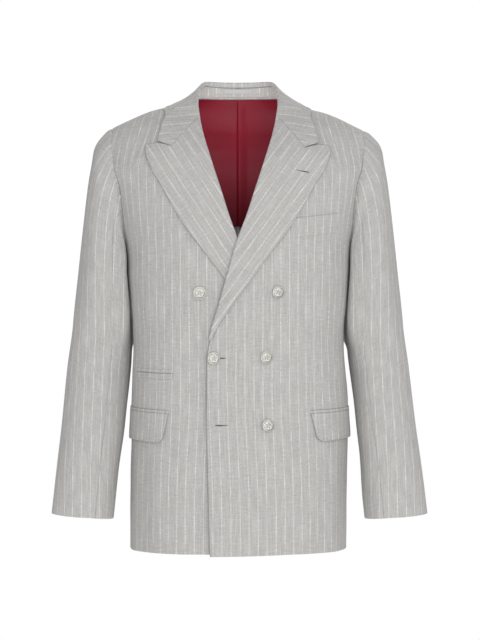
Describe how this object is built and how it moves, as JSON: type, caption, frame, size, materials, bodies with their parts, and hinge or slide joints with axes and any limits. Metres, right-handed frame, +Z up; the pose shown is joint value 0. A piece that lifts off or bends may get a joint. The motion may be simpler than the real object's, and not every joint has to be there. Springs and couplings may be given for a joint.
{
  "type": "one-and-a-half breasted blazer, filled out as it is worn",
  "caption": "Tailored blazer in striped suiting with peak lapels and overlapping fronts, held out as if worn, with flap pockets, a breast welt and a lined upper back.",
  "frame": {"origin": "middle of the neck base, at the height of the inner shoulder, where the wearer holds the garment up", "axes": "+Z up, the wearer's front faces -Y, the wearer's left is +X"},
  "size_m": [0.5936, 0.2784, 0.7538],
  "materials": {
    "suiting": "slubbed light grey plain weave with fine white stripes",
    "lining": "smooth burgundy satin lining",
    "tape": "plain pale tape",
    "button": "soft pale silver with a plain relief"
  },
  "bodies": {
    "root": {"front_left": "suiting", "front_right": "suiting", "back_left": "suiting", "back_right": "suiting", "sleeve_top_left": "suiting", "sleeve_under_left": "suiting", "sleeve_top_right": "suiting", "sleeve_under_right": "suiting", "lapel_left": "suiting", "lapel_right": "suiting", "collar_fall": "suiting", "collar_stand": "suiting", "breast_welt": "suiting", "flap_left": "suiting", "flap_right": "suiting", "jet_left": "suiting", "jet_right": "suiting", "ticket_jet_upper": "suiting", "ticket_jet_lower": "suiting", "back_lining": "lining", "hanger_loop": "tape", "button_upper_right": "button", "button_upper_left": "button", "button_fastened": "button", "button_middle_left": "button", "button_lower_left": "button", "button_hidden": "button"}
  },
  "joints": []
}
